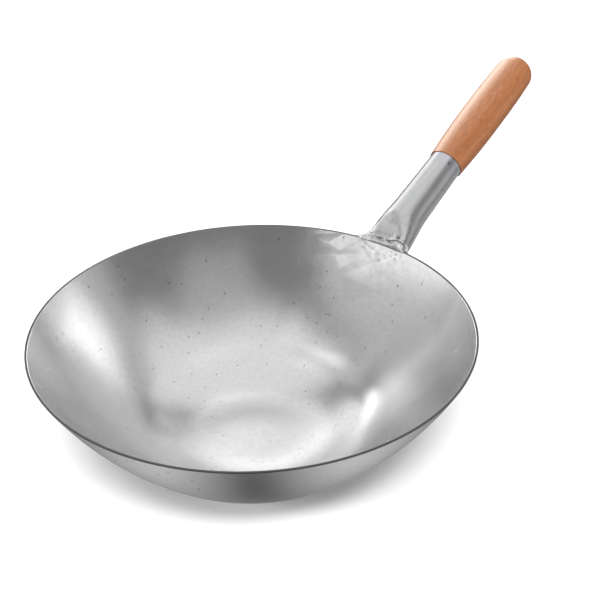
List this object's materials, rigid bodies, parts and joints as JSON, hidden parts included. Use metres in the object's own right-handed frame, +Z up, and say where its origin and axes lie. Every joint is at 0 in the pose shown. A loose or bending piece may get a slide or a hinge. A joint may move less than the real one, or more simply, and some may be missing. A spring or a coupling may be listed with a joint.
{
  "type": "stainless steel wok",
  "caption": "Round steel wok bowl with a flat base and a plain cut rim, and a rising welded steel socket that carries a turned wooden grip.",
  "frame": {"origin": "centre of the bowl's flat base, on the surface that the wok stands on", "axes": "+Z up out of the bowl, +X towards the handle"},
  "size_m": [0.4927, 0.3, 0.2083],
  "materials": {
    "bowl_steel": "satin spun steel with faint circular spinning lines and fine specks",
    "socket_steel": "smooth rolled steel sheet with lengthwise sheen",
    "weld_steel": "rippled weld metal, ground in places",
    "grip_wood": "turned beech stained warm brown, satin lacquer, short fine pores along the grain",
    "nail_steel": "dull steel"
  },
  "bodies": {
    "root": {"wok_bowl": "bowl_steel", "handle_socket": "socket_steel", "rim_weld_bead": "weld_steel", "wall_weld_bead": "weld_steel", "wooden_grip": "grip_wood", "grip_nail": "nail_steel"}
  },
  "joints": []
}
